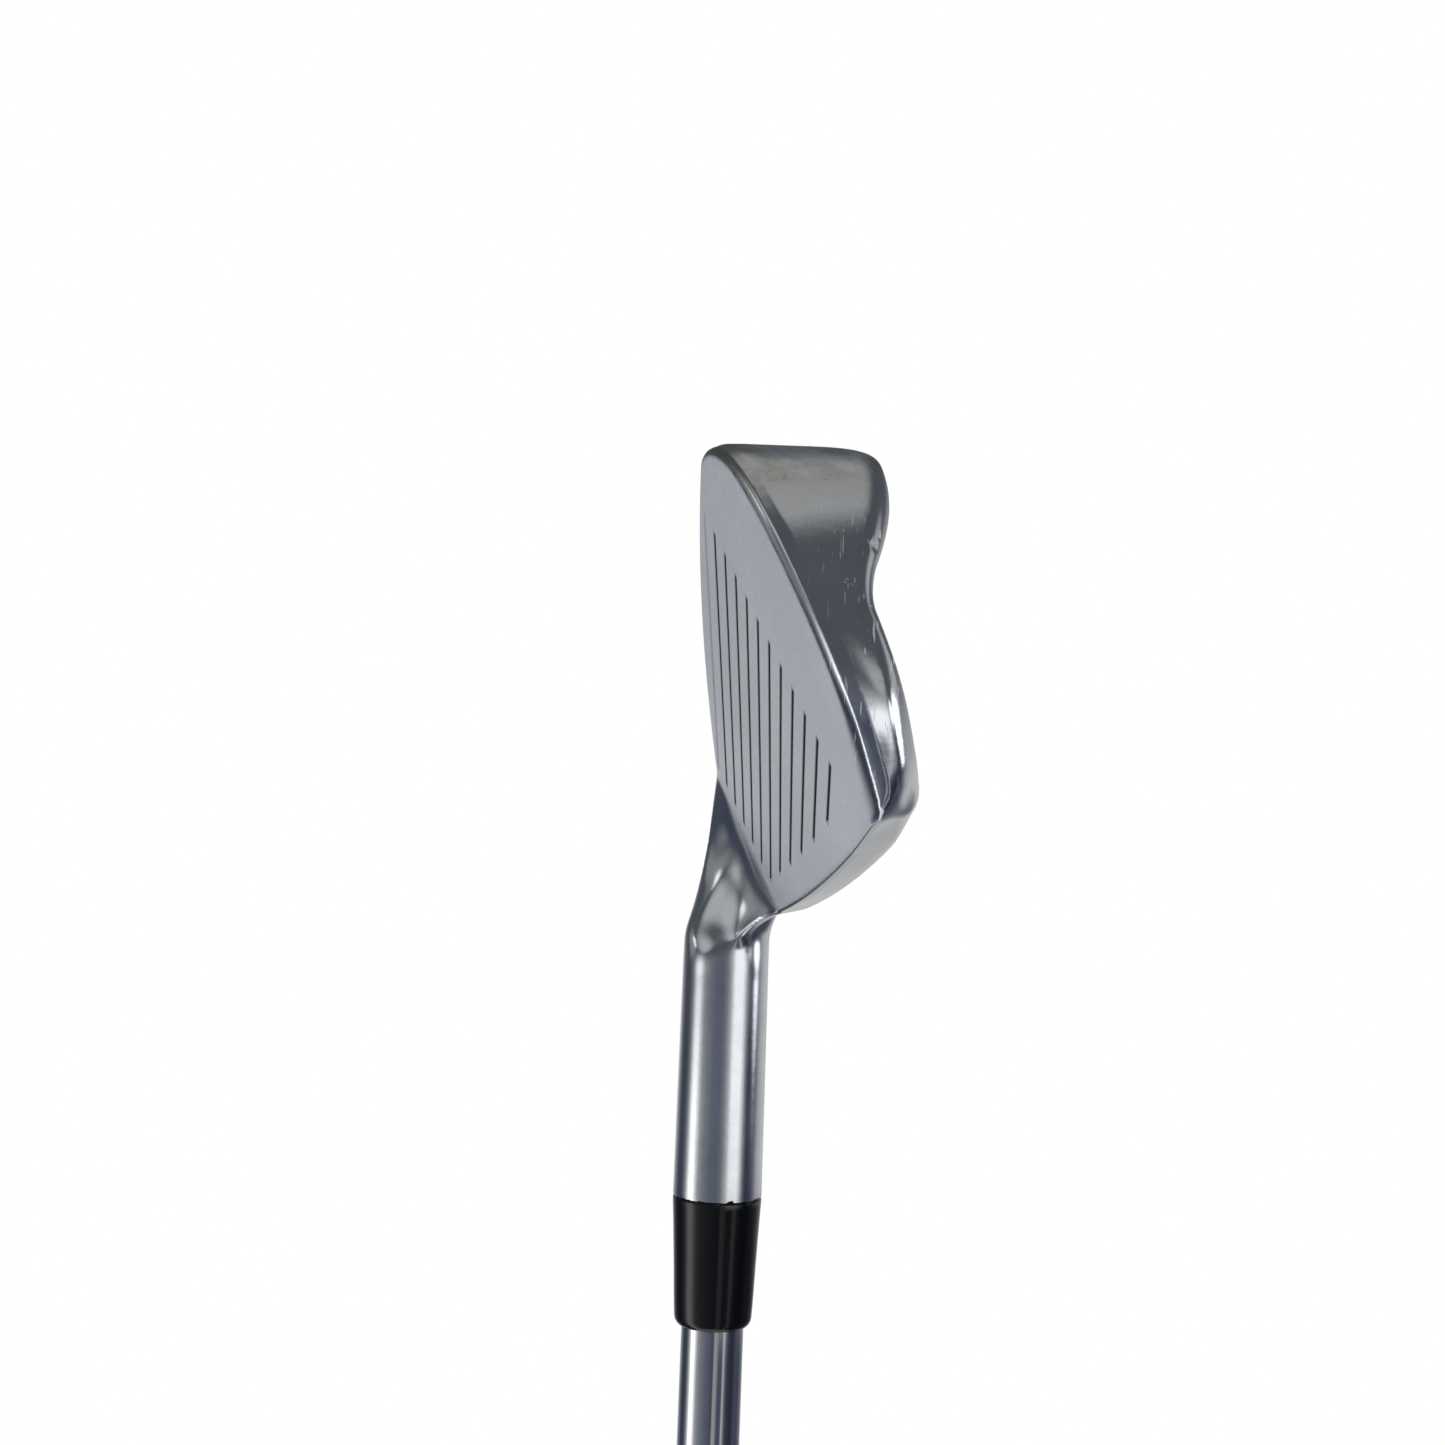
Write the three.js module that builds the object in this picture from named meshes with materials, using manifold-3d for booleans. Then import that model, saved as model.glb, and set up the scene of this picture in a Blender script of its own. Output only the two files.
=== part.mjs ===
// A right-handed long iron: a one-piece steel head with its hosel, a ferrule, a stepped steel shaft
// and a rubber grip. Millimetres. The shaft's axis is Z: the butt of the grip is at z = 0 and the
// head is at the top. +Y points to the toe and +X points at the target, the way the face looks.

import * as THREE from 'three';
import { mergeVertices } from 'three/addons/utils/BufferGeometryUtils.js';
import Module from 'manifold-3d';

const wasm = await Module();
wasm.setup();

// ---------------------------------------------------------------- driving dimensions

const CLUB_LENGTH = 978; // from the butt to the ground line under the heel, 38.5 inches
const LIE = THREE.MathUtils.degToRad(61.4);
const LOFT = THREE.MathUtils.degToRad(24);

const GROUND_DROP = 6.8; // ground below the heel end of the lowest score line
const AXIS_BEHIND = 1.94; // shaft axis behind the heel end of the lowest score line
const AXIS_HEELWARD = 2.64; // shaft axis meets the ground this far toward the heel

const FACE_HEEL = -3; // blade sections run from here ...
const FACE_TOE = 82; // ... to here, past the toe outline that trims them
const TOPLINE_THICKNESS = 6.1;
const PIVOT_HEIGHT = 28.5; // the heel turns into the hosel about this point above the topline

const HOSEL_RADIUS = 6.76;
const HOSEL_NECK_RADIUS = 6.6;
const HOSEL_TOP = 69.4; // from the ground line to the hosel's rim, along the shaft
const BORE_DEPTH = 36;
const BORE_RADIUS = 4.95;

const SCORE_LINES = 12;
const SCORE_PITCH = 3.6;
const SCORE_LENGTH = 57.3;
const SCORE_WIDTH = 0.9;
const SCORE_TOPLINE_GAP = 5.2; // the upper lines stop this far short of the topline

const FERRULE_LENGTH = 18.8;
const FERRULE_TIP_RADIUS = 5.85;

const TIP_RADIUS = 4.7; // 0.370 inch parallel tip
const BUTT_RADIUS = 7.62; // 0.600 inch butt
const STEP_COUNT = 12;
const STEP_SPACING = 44.45;
const FIRST_STEP_FROM_BUTT = 173;
const SHAFT_BUTT_Z = 6.2;
const INSERTION_DEPTH = 33;

const GRIP_LENGTH = 267;
const GRIP_BUTT_RADIUS = 13.4;
const GRIP_MOUTH_RADIUS = 9.1;
const CAP_THICKNESS = 5.6;
const VENT_RADIUS = 2.2;

const SIDES = 32; // facets round everything turned
const GAP = 0.06; // between pieces that are nested round the shaft
const SEAM = 0.3; // between pieces that meet end to end

const SHAFT_TIP_Z = CLUB_LENGTH - HOSEL_TOP + INSERTION_DEPTH;
const HOSEL_RIM_Z = CLUB_LENGTH - HOSEL_TOP;

// ---------------------------------------------------------------- materials

function finish(color, roughness, metalness) {
  return new THREE.MeshStandardMaterial({ color, roughness, metalness });
}

const MATERIALS = {
  head: finish(0xaeb2ba, 0.3, 1),
  ferrule: finish(0x0b0b0d, 0.16, 0),
  shaft: finish(0xc9ccd2, 0.08, 1),
  epoxy: finish(0x8a8478, 0.5, 0),
  brass: finish(0xb08d4a, 0.35, 1),
  label: finish(0xb9bcc2, 0.35, 0.4),
  tape: finish(0xcfc7b2, 0.85, 0),
  rubber: finish(0x1b1b1d, 0.75, 0),
  cap: finish(0x141415, 0.6, 0),
};

// ---------------------------------------------------------------- solids

function toSolid(geometry) {
  geometry.deleteAttribute('normal');
  geometry.deleteAttribute('uv');
  const merged = mergeVertices(geometry, 1e-4);
  return new wasm.Manifold(new wasm.Mesh({
    numProp: 3,
    vertProperties: new Float32Array(merged.attributes.position.array),
    triVerts: new Uint32Array(merged.index.array),
  }));
}

function toGeometry(solid) {
  const mesh = solid.getMesh();
  const geometry = new THREE.BufferGeometry();
  geometry.setAttribute('position', new THREE.BufferAttribute(mesh.vertProperties, 3));
  geometry.setIndex(new THREE.BufferAttribute(mesh.triVerts, 1));
  geometry.computeVertexNormals();
  return geometry;
}

// A turned piece about Z from [radius, z] pairs: either a ring whose profile closes on itself, or a
// solid whose profile starts and ends on the axis. The pairs run up the outside.
function turned(profile) {
  const closed = profile[0][0] > 0;
  const pairs = closed ? [...profile, profile[0]] : profile;
  const points = pairs.map(([radius, z]) => new THREE.Vector2(radius, z));
  const geometry = new THREE.LatheGeometry(points, SIDES);
  geometry.rotateX(Math.PI / 2);
  return geometry;
}

// ---------------------------------------------------------------- the head's frames

// Face frame: x runs along the score lines from heel to toe, y up the face, z back into the head.
// Address frame: x points back, y to the toe and z up, with the club soled on the ground.
const faceToAddress = new THREE.Matrix4().makeBasis(
  new THREE.Vector3(0, 1, 0),
  new THREE.Vector3(Math.sin(LOFT), 0, Math.cos(LOFT)),
  new THREE.Vector3(Math.cos(LOFT), 0, -Math.sin(LOFT)),
);

// The address frame placed on the shaft, with the head uppermost.
const addressToClub = new THREE.Matrix4()
  .makeBasis(
    new THREE.Vector3(-1, 0, 0),
    new THREE.Vector3(0, Math.sin(LIE), Math.cos(LIE)),
    new THREE.Vector3(0, Math.cos(LIE), -Math.sin(LIE)),
  )
  .setPosition(0, 0, CLUB_LENGTH)
  .multiply(new THREE.Matrix4().makeTranslation(-AXIS_BEHIND, AXIS_HEELWARD, GROUND_DROP));

// ---------------------------------------------------------------- blade sections

function leadingEdge(x) {
  return -4.4 + 0.0026 * (x - 29) ** 2;
}

function topEdge(x) {
  return 26.3 + 0.46 * x - 0.0011 * x ** 2;
}

// The sole bar keeps its depth along the blade, rounds off at the toe and thins toward the heel.
// It is tallest at the toe.
function barScale(x) {
  const toeRound = Math.min(0.5, 0.0045 * Math.max(0, x - 62) ** 2);
  const heelThin = 0.00018 * Math.max(0, 30 - x) ** 2;
  return 1.1 - toeRound - heelThin;
}

function barHeight(x) {
  return 16 + 0.09 * x;
}

// The topline climbs a little behind the face, and rounds off at the toe instead.
function toplineRise(x) {
  return 0.85 * (1 - THREE.MathUtils.smoothstep(x, 46, 60));
}

// Back of the sole bar from its top edge down and round to the sole: the height as a share of the
// bar's height, and the depth behind the face.
const BAR_PROFILE = [
  [1.1, 9.6], [1, 11.8], [0.93, 13.6], [0.86, 15.2], [0.78, 16.4], [0.68, 17.4],
  [0.56, 18.3], [0.45, 18.9], [0.36, 19], [0.29, 18.4], [0.23, 17], [0.16, 14.5], [0.085, 11.4],
];
const FACE_POINTS = 12;
const BACK_SLOPE = 0.055; // the blade thickens by this much for each millimetre down its back

// One blade section as [height, depth] pairs, from under the sole, up the face, over the topline
// and down the back.
function bladeSection(x) {
  const low = leadingEdge(x);
  const high = topEdge(x);
  const points = [[low + 0.25, 8], [low - 0.35, 5.5], [low - 0.9, 3.2], [low - 0.75, 1.2]];
  const faceLow = low + 0.3;
  const faceHigh = high - 0.2;
  for (let i = 0; i < FACE_POINTS; i += 1) {
    points.push([faceLow + ((faceHigh - faceLow) * i) / (FACE_POINTS - 1), 0]);
  }
  const rise = toplineRise(x);
  points.push([high + 0.25 + 0.2 * rise, 0.6], [high + rise, 2.2]);
  points.push([high - 0.3 + 1.4 * rise, 4], [high - 1 + 1.8 * rise, 5.3]);
  const backTop = high - 2.6 + 2.4 * rise;
  points.push([backTop, TOPLINE_THICKNESS + 0.9 * (1 - rise)]);
  const barTop = low + 1.22 * barHeight(x);
  for (const share of [0.33, 0.66, 1]) {
    const drop = (backTop - barTop) * share;
    points.push([backTop - drop, TOPLINE_THICKNESS + 0.9 * (1 - rise) + BACK_SLOPE * drop]);
  }
  for (const [share, depth] of BAR_PROFILE) {
    points.push([low + share * barHeight(x), depth * barScale(x)]);
  }
  return points;
}

const RING = bladeSection(0).length;

// ---------------------------------------------------------------- heel bend and hosel

const groundPoint = new THREE.Vector3(AXIS_BEHIND, -AXIS_HEELWARD, -GROUND_DROP);
const shaftDirection = new THREE.Vector3(0, -Math.cos(LIE), Math.sin(LIE));
const pivot = new THREE.Vector3(0, FACE_HEEL, PIVOT_HEIGHT);

// Distance from the pivot to the shaft's axis, in the plane of the bend.
const pivotToAxis = (pivot.y - groundPoint.y) * Math.sin(LIE) + (pivot.z - groundPoint.z) * Math.cos(LIE);

// A section is turned about the pivot by an angle: 0 leaves it upright, LIE sets it square to the
// shaft. "rise" is the height in the section's own plane, counted from the pivot.
function onSection(back, rise, angle, slide) {
  return new THREE.Vector3(
    back,
    pivot.y + rise * Math.sin(angle) - slide * Math.cos(angle),
    pivot.z + rise * Math.cos(angle) + slide * Math.sin(angle),
  );
}

function hoselPoint(index, radius) {
  const turn = (index / RING) * 2 * Math.PI;
  return { back: AXIS_BEHIND - radius * Math.sin(turn), rise: -pivotToAxis - radius * Math.cos(turn) };
}

function bladeRing(x) {
  return bladeSection(x).map(([y, depth]) => (
    new THREE.Vector3(x, y, depth).applyMatrix4(faceToAddress)
  ));
}

// The front of the heel soon swells to the hosel's full width above the leading edge, while its
// back and top turn in a rounder curve.
function bendRing(share) {
  const round = THREE.MathUtils.smoothstep(share, 0, 1);
  const early = 1 - (1 - share) ** 3;
  return bladeRing(FACE_HEEL).map((point, index) => {
    const front = Math.max(0, Math.sin((index / RING) * 2 * Math.PI + 0.7));
    const weight = THREE.MathUtils.lerp(round, early, front);
    const target = hoselPoint(index, HOSEL_NECK_RADIUS);
    const back = THREE.MathUtils.lerp(point.x, target.back, weight);
    const rise = THREE.MathUtils.lerp(point.z - pivot.z, target.rise, weight);
    return onSection(back, rise, share * LIE, 0);
  });
}

const bendEnd = onSection(AXIS_BEHIND, -pivotToAxis, LIE, 0);
const hoselLength = HOSEL_TOP - bendEnd.distanceTo(groundPoint);

function hoselRing(share) {
  const radius = THREE.MathUtils.lerp(HOSEL_NECK_RADIUS, HOSEL_RADIUS, share);
  return Array.from({ length: RING }, (_, index) => {
    const { back, rise } = hoselPoint(index, radius);
    return onSection(back, rise, LIE, share * hoselLength);
  });
}

// All the sections from the toe to the hosel's rim.
function headRings() {
  const rings = [];
  const bladeSteps = 20;
  for (let i = 0; i < bladeSteps; i += 1) {
    rings.push(bladeRing(THREE.MathUtils.lerp(FACE_TOE, FACE_HEEL, i / bladeSteps)));
  }
  const bendSteps = 14;
  for (let i = 0; i <= bendSteps; i += 1) rings.push(bendRing(i / bendSteps));
  for (const share of [0.5, 1]) rings.push(hoselRing(share));
  return rings;
}

// A cylinder whose rings of points are moved onto the given rings, from its foot to its top.
function skinned(rings) {
  const geometry = new THREE.CylinderGeometry(1, 1, 1, RING, rings.length - 1);
  const position = geometry.attributes.position;
  const centres = rings.map((ring) => (
    ring.reduce((sum, point) => sum.add(point), new THREE.Vector3()).divideScalar(RING)
  ));
  for (let i = 0; i < position.count; i += 1) {
    const x = position.getX(i);
    const z = position.getZ(i);
    const level = Math.round((position.getY(i) + 0.5) * (rings.length - 1));
    const step = Math.round((Math.atan2(x, z) / (2 * Math.PI)) * RING);
    const index = (2 * RING - step) % RING;
    const point = Math.hypot(x, z) < 0.5 ? centres[level] : rings[level][index];
    position.setXYZ(i, point.x, point.y, point.z);
  }
  return geometry;
}

// ---------------------------------------------------------------- cuts in the head

// The toe wall starts from the face's own edge with a bevel, which is widest at the top of the toe,
// and then leans in toward the back, most of all at the nose. Both are scales of the outline about
// a point of the blade.
const BEVEL_CENTRE = new THREE.Vector2(50, 5);
const LEAN_CENTRE = new THREE.Vector2(40, 22);

const NOSE = new THREE.Vector2(64.5, 49);

function toePoint(point, depth) {
  const bevel = 1 + 0.05 * THREE.MathUtils.smoothstep(depth, -0.4, 2.2);
  const noseRound = 0.0075 * Math.exp(-point.distanceToSquared(NOSE) / 40);
  const lean = 1 - (0.0085 + noseRound) * Math.max(0, depth - 2);
  return point
    .sub(BEVEL_CENTRE).multiplyScalar(bevel).add(BEVEL_CENTRE)
    .sub(LEAN_CENTRE).multiplyScalar(lean).add(LEAN_CENTRE);
}

// Everything outside the toe's outline.
function toeCutter() {
  const outline = new THREE.SplineCurve([
    [60.4, 54], [62.6, 50.4], [66.4, 46.4], [70.6, 41.4], [73.4, 34.6], [74.9, 27], [75.6, 19],
    [74.9, 11.2], [72.4, 5.6], [68.6, 1.4], [64, -1.6], [59, -5],
  ].map(([x, y]) => new THREE.Vector2(x, y)));
  const shape = new THREE.Shape([
    ...outline.getPoints(30),
    new THREE.Vector2(59, -30),
    new THREE.Vector2(120, -30),
    new THREE.Vector2(120, 90),
    new THREE.Vector2(60.4, 90),
  ]);
  const steps = 14;
  const geometry = new THREE.ExtrudeGeometry(shape, { depth: 28, steps, bevelEnabled: false });
  geometry.translate(0, 0, -0.4);
  const position = geometry.attributes.position;
  for (let i = 0; i < position.count; i += 1) {
    const moved = new THREE.Vector2(position.getX(i), position.getY(i));
    toePoint(moved, position.getZ(i));
    position.setXY(i, moved.x, moved.y);
  }
  geometry.translate(0, 0, -0.02);
  return toSolid(geometry.applyMatrix4(faceToAddress));
}

// The hollow in the back, inside a rim at the topline and toe. Its foot dips behind the sole bar
// and climbs at both ends of it.
function cavityCutter() {
  const shape = new THREE.Shape();
  shape.moveTo(13, 15.5);
  shape.quadraticCurveTo(16, 9.5, 24, 8.5);
  shape.lineTo(44, 8.5);
  shape.quadraticCurveTo(53, 9.5, 56, 19);
  shape.quadraticCurveTo(64.6, 25, 65.4, 31);
  shape.quadraticCurveTo(65.6, 37.6, 61.2, 41.4);
  shape.quadraticCurveTo(58, 44, 52, 41.8);
  shape.lineTo(15, 26.6);
  shape.quadraticCurveTo(9.5, 23.5, 10, 20.5);
  shape.quadraticCurveTo(10.6, 17.5, 13, 15.5);
  const fillet = 1.8;
  const floor = 3.4;
  const geometry = new THREE.ExtrudeGeometry(shape, {
    depth: 20, curveSegments: 5, bevelThickness: fillet, bevelSize: fillet, bevelSegments: 3,
  });
  geometry.translate(0, 0, floor + fillet);
  return toSolid(geometry.applyMatrix4(faceToAddress));
}

// The heel end of a score line: square with the others, or cut short by the slope of the topline.
function scoreLineStart(y) {
  let x = 0;
  while (topEdge(x) - SCORE_TOPLINE_GAP < y) x += 0.25;
  return x;
}

function scoreLineCutter(row) {
  const y = row * SCORE_PITCH;
  const start = scoreLineStart(y);
  const length = SCORE_LENGTH - start;
  const side = SCORE_WIDTH * Math.SQRT1_2;
  const geometry = new THREE.BoxGeometry(length, side, side);
  geometry.rotateX(Math.PI / 4);
  geometry.translate(start + length / 2, y, 0);
  return toSolid(geometry.applyMatrix4(faceToAddress));
}

function boreCutter() {
  const mouth = HOSEL_RIM_Z - 5;
  const bottom = HOSEL_RIM_Z + BORE_DEPTH;
  const geometry = turned([
    [0, mouth], [BORE_RADIUS, mouth], [BORE_RADIUS, bottom - 1.5], [BORE_RADIUS - 1.5, bottom], [0, bottom],
  ]);
  return toSolid(geometry.applyMatrix4(addressToClub.clone().invert()));
}

function clubHead() {
  let solid = toSolid(skinned(headRings()));
  solid = solid.subtract(toeCutter()).subtract(cavityCutter()).subtract(boreCutter());
  for (let row = 0; row < SCORE_LINES; row += 1) solid = solid.subtract(scoreLineCutter(row));
  return toGeometry(solid);
}

// ---------------------------------------------------------------- shaft and what is in it

function shaftRadius(z) {
  const passed = Math.ceil((z - FIRST_STEP_FROM_BUTT) / STEP_SPACING);
  const steps = THREE.MathUtils.clamp(passed, 0, STEP_COUNT);
  return THREE.MathUtils.lerp(BUTT_RADIUS, TIP_RADIUS, steps / STEP_COUNT);
}

// The shaft's outline between two heights, standing out by an offset, with its steps.
function shaftOutline(from, to, offset) {
  const ramp = 1.2;
  const points = [[shaftRadius(from) + offset, from]];
  for (let i = 0; i < STEP_COUNT; i += 1) {
    const z = FIRST_STEP_FROM_BUTT + i * STEP_SPACING;
    if (z > from && z < to) {
      points.push([shaftRadius(z) + offset, z], [shaftRadius(z + ramp) + offset, z + ramp]);
    }
  }
  points.push([shaftRadius(to) + offset, to]);
  return points;
}

function shaft() {
  const wall = 0.7;
  const tipWall = 0.8;
  const stepsEnd = FIRST_STEP_FROM_BUTT + STEP_COUNT * STEP_SPACING;
  return turned([
    ...shaftOutline(SHAFT_BUTT_Z, SHAFT_TIP_Z, 0),
    [TIP_RADIUS - tipWall, SHAFT_TIP_Z],
    [TIP_RADIUS - tipWall, stepsEnd],
    [BUTT_RADIUS - wall, FIRST_STEP_FROM_BUTT],
    [BUTT_RADIUS - wall, SHAFT_BUTT_Z],
  ]);
}

// The cured adhesive between the shaft's tip and the hosel's bore.
function hoselEpoxy() {
  const inner = TIP_RADIUS + GAP;
  const outer = BORE_RADIUS - GAP;
  const start = HOSEL_RIM_Z + 2;
  return turned([[outer, start], [outer, SHAFT_TIP_Z - 1], [inner, SHAFT_TIP_Z - 1], [inner, start]]);
}

// A weight pin pressed into the tip: a stem inside the shaft under a flat head.
function tipWeight() {
  const stem = TIP_RADIUS - 0.8 - GAP;
  const head = TIP_RADIUS - GAP;
  const start = SHAFT_TIP_Z - 22;
  const top = SHAFT_TIP_Z + 1.8;
  return turned([
    [0, start], [stem - 0.8, start], [stem, start + 2], [stem, SHAFT_TIP_Z + SEAM],
    [head, SHAFT_TIP_Z + SEAM], [head, top], [0, top],
  ]);
}

function ferrule() {
  const inner = TIP_RADIUS + GAP;
  const top = HOSEL_RIM_Z - SEAM / 2;
  const low = top - FERRULE_LENGTH;
  return turned([
    [inner, low], [FERRULE_TIP_RADIUS - 0.9, low], [FERRULE_TIP_RADIUS - 0.3, low + 0.35],
    [FERRULE_TIP_RADIUS, low + 1.1], [FERRULE_TIP_RADIUS + 0.22, low + 5],
    [FERRULE_TIP_RADIUS + 0.5, low + 11], [HOSEL_RADIUS, top - 0.4], [HOSEL_RADIUS - 0.15, top],
    [inner, top],
  ]);
}

function shaftLabel() {
  const from = FIRST_STEP_FROM_BUTT + 3 * STEP_SPACING + 3;
  const to = from + 36;
  const inner = shaftRadius(from) + GAP;
  const outer = inner + 0.12;
  return turned([[outer, from], [outer, to], [inner, to], [inner, from]]);
}

// ---------------------------------------------------------------- grip

function gripTape() {
  const thickness = 0.25;
  const end = GRIP_LENGTH - 3;
  const outer = shaftOutline(SHAFT_BUTT_Z, end, GAP + thickness);
  const inner = shaftOutline(SHAFT_BUTT_Z, end, GAP);
  return turned([...outer, ...inner.reverse()]);
}

function gripSleeve() {
  const boreOffset = 2 * GAP + 0.25;
  const from = CAP_THICKNESS + SEAM;
  const bore = shaftOutline(from, GRIP_LENGTH, boreOffset);
  const outside = [
    [GRIP_BUTT_RADIUS - 0.3, from], [GRIP_BUTT_RADIUS - 0.1, from + 4], [GRIP_BUTT_RADIUS - 0.7, 26],
    [GRIP_BUTT_RADIUS - 1.6, 70], [GRIP_BUTT_RADIUS - 2.6, 127],
    [GRIP_MOUTH_RADIUS + 0.5, GRIP_LENGTH - 22], [GRIP_MOUTH_RADIUS, GRIP_LENGTH - 3],
    [GRIP_MOUTH_RADIUS - 0.5, GRIP_LENGTH - 0.8], [GRIP_MOUTH_RADIUS - 1.1, GRIP_LENGTH],
  ];
  return turned([...outside, ...bore.reverse()]);
}

function gripCap() {
  const rim = GRIP_BUTT_RADIUS;
  return turned([
    [VENT_RADIUS, 0], [rim - 2.4, 0], [rim - 0.9, 0.5], [rim - 0.15, 1.6], [rim, 3],
    [rim - 0.25, CAP_THICKNESS], [VENT_RADIUS, CAP_THICKNESS],
  ]);
}

// ---------------------------------------------------------------- assembly

function piece(name, geometry, material) {
  const mesh = new THREE.Mesh(geometry, material);
  mesh.name = name;
  return mesh;
}

const headGroup = new THREE.Group();
headGroup.applyMatrix4(addressToClub);
headGroup.add(piece('club_head', clubHead(), MATERIALS.head));

const club = new THREE.Group();
club.add(headGroup);
club.add(piece('ferrule', ferrule(), MATERIALS.ferrule));
club.add(piece('hosel_epoxy', hoselEpoxy(), MATERIALS.epoxy));
club.add(piece('tip_weight', tipWeight(), MATERIALS.brass));
club.add(piece('shaft', shaft(), MATERIALS.shaft));
club.add(piece('shaft_label', shaftLabel(), MATERIALS.label));
club.add(piece('grip_tape', gripTape(), MATERIALS.tape));
club.add(piece('grip_sleeve', gripSleeve(), MATERIALS.rubber));
club.add(piece('grip_cap', gripCap(), MATERIALS.cap));

export default club;
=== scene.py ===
import math

import bpy
import numpy as np
from mathutils import Matrix, Vector


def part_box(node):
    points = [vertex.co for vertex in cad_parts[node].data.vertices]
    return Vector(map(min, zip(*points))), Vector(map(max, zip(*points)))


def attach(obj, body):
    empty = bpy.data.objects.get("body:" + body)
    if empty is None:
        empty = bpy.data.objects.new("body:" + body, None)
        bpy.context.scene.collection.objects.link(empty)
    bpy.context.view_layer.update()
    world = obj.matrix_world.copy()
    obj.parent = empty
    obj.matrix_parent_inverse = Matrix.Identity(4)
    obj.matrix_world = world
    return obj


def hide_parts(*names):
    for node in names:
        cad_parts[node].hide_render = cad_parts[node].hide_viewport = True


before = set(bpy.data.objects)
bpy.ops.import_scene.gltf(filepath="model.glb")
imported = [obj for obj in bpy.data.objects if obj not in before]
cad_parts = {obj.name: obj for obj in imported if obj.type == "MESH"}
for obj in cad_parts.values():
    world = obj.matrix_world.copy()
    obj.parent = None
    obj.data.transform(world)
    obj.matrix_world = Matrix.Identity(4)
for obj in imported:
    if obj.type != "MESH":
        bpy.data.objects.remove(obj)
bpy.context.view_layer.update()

MM = 0.001

# ---------------------------------------------------------------- driving dimensions, mm
LIE = math.radians(61.4)
LOFT = math.radians(24.0)
CLUB_LENGTH = 978.0
# The face frame's origin is the heel end of the lowest score line. These place it.
GROUND_DROP = 6.8
AXIS_BEHIND = 1.94
AXIS_HEELWARD = 2.64
# Heights along the shaft are counted from the ground.
HOSEL_RADIUS = 6.76
HOSEL_NECK_RADIUS = 6.6
HOSEL_NECK_HEIGHT = 31.0
HOSEL_TOP = 69.4
BORE_DEPTH = 36.0
BORE_RADIUS = 4.95
SCORE_LINES = 12
SCORE_PITCH = 3.6
SCORE_LENGTH = 57.3
SCORE_HALF_WIDTH = 0.3
SCORE_TOPLINE_GAP = 5.2
CAVITY_FLOOR = 3.4
CAVITY_MARGIN = 1.8
CAVITY_DRAFT = 0.06
# The bend at the heel: where it starts, its pivot, how far the blade's outline runs on into it,
# and the angle past the lie over which it settles into the hosel.
FACE_HEEL = -3.0
PIVOT_HEIGHT = 28.5
RUN_ON = 8.0
STRAIGHTEN = 0.45

SIN_LIE, COS_LIE = math.sin(LIE), math.cos(LIE)
SIN_LOFT, COS_LOFT = math.sin(LOFT), math.cos(LOFT)
PIVOT_TO_AXIS = (FACE_HEEL + AXIS_HEELWARD) * SIN_LIE + (PIVOT_HEIGHT + GROUND_DROP) * COS_LIE


# ---------------------------------------------------------------- frames
def to_row(points):
    """Face frame (heel to toe, up the face, into the head), mm, to the row frame, metres."""
    h, v, n = points[:, 0], points[:, 1], points[:, 2]
    back = v * SIN_LOFT + n * COS_LOFT
    up = v * COS_LOFT - n * SIN_LOFT
    out = np.empty_like(points)
    out[:, 0] = -(back - AXIS_BEHIND)
    out[:, 1] = SIN_LIE * (h + AXIS_HEELWARD) + COS_LIE * (up + GROUND_DROP)
    out[:, 2] = CLUB_LENGTH + COS_LIE * (h + AXIS_HEELWARD) - SIN_LIE * (up + GROUND_DROP)
    return out * MM


# ---------------------------------------------------------------- shape functions of the head
def smoothstep(x, low, high):
    """0 below low, 1 above high, with a smooth rise between."""
    t = np.clip((x - low) / (high - low), 0, 1)
    return t * t * (3 - 2 * t)


def smooth_max(a, b, width):
    """The larger of two distances, rounded where they are within width of each other."""
    k = np.clip(0.5 + 0.5 * (a - b) / width, 0, 1)
    return a * k + b * (1 - k) + width * k * (1 - k)


def leading_edge(h):
    """Height of the face's lower edge."""
    return -4.4 + 0.0026 * (h - 29) ** 2


def top_edge(h):
    """Height of the topline."""
    return 26.3 + 0.46 * h - 0.0011 * h * h


def bar_scale(h):
    """Depth of the sole bar as a share of its full depth, less at the heel and the toe."""
    toe_round = 0.0009 * np.clip(h - 58, 0, 25) ** 2
    return 1.07 - toe_round - 0.00018 * np.maximum(0, 30 - h) ** 2


def bar_height(h):
    """Height of the sole bar above the leading edge."""
    return 16 + 0.09 * h + 3.4 * smoothstep(h, 60, 74)


def topline_rise(h):
    """How much the topline's flat tips up toward the back, none at the toe."""
    return 0.85 * (1 - smoothstep(h, 46, 60))


def spline(points, steps):
    """Catmull-Rom curve through the points."""
    p = np.array(points, float)
    q = np.vstack([2 * p[0] - p[1], p, 2 * p[-1] - p[-2]])
    t = np.linspace(0, 1, steps, endpoint=False)[:, None]
    out = []
    for i in range(len(p) - 1):
        a, b, c, d = q[i:i + 4]
        out.append(0.5 * (2 * b + (c - a) * t + (2 * a - 5 * b + 4 * c - d) * t ** 2
                          + (3 * b - a - 3 * c + d) * t ** 3))
    return np.vstack(out + [p[-1:]])


TOE_OUTLINE = [(60.0, 58), (60.4, 54), (62.6, 50.4), (66.4, 46.4), (70.6, 41.4), (73.4, 34.6),
               (74.9, 27), (75.6, 19), (74.9, 11.2), (72.4, 5.6), (68.6, 1.4), (64, -1.6),
               (59, -5), (52, -9)]
TOE_CENTRE = (40.0, 22.0)
BEVEL_CENTRE = (50.0, 5.0)


def polar_outline():
    curve = spline(TOE_OUTLINE, 16)
    x, y = curve[:, 0] - TOE_CENTRE[0], curve[:, 1] - TOE_CENTRE[1]
    angle = np.arctan2(y, x)
    order = np.argsort(angle)
    return angle[order], np.hypot(x, y)[order]


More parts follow.
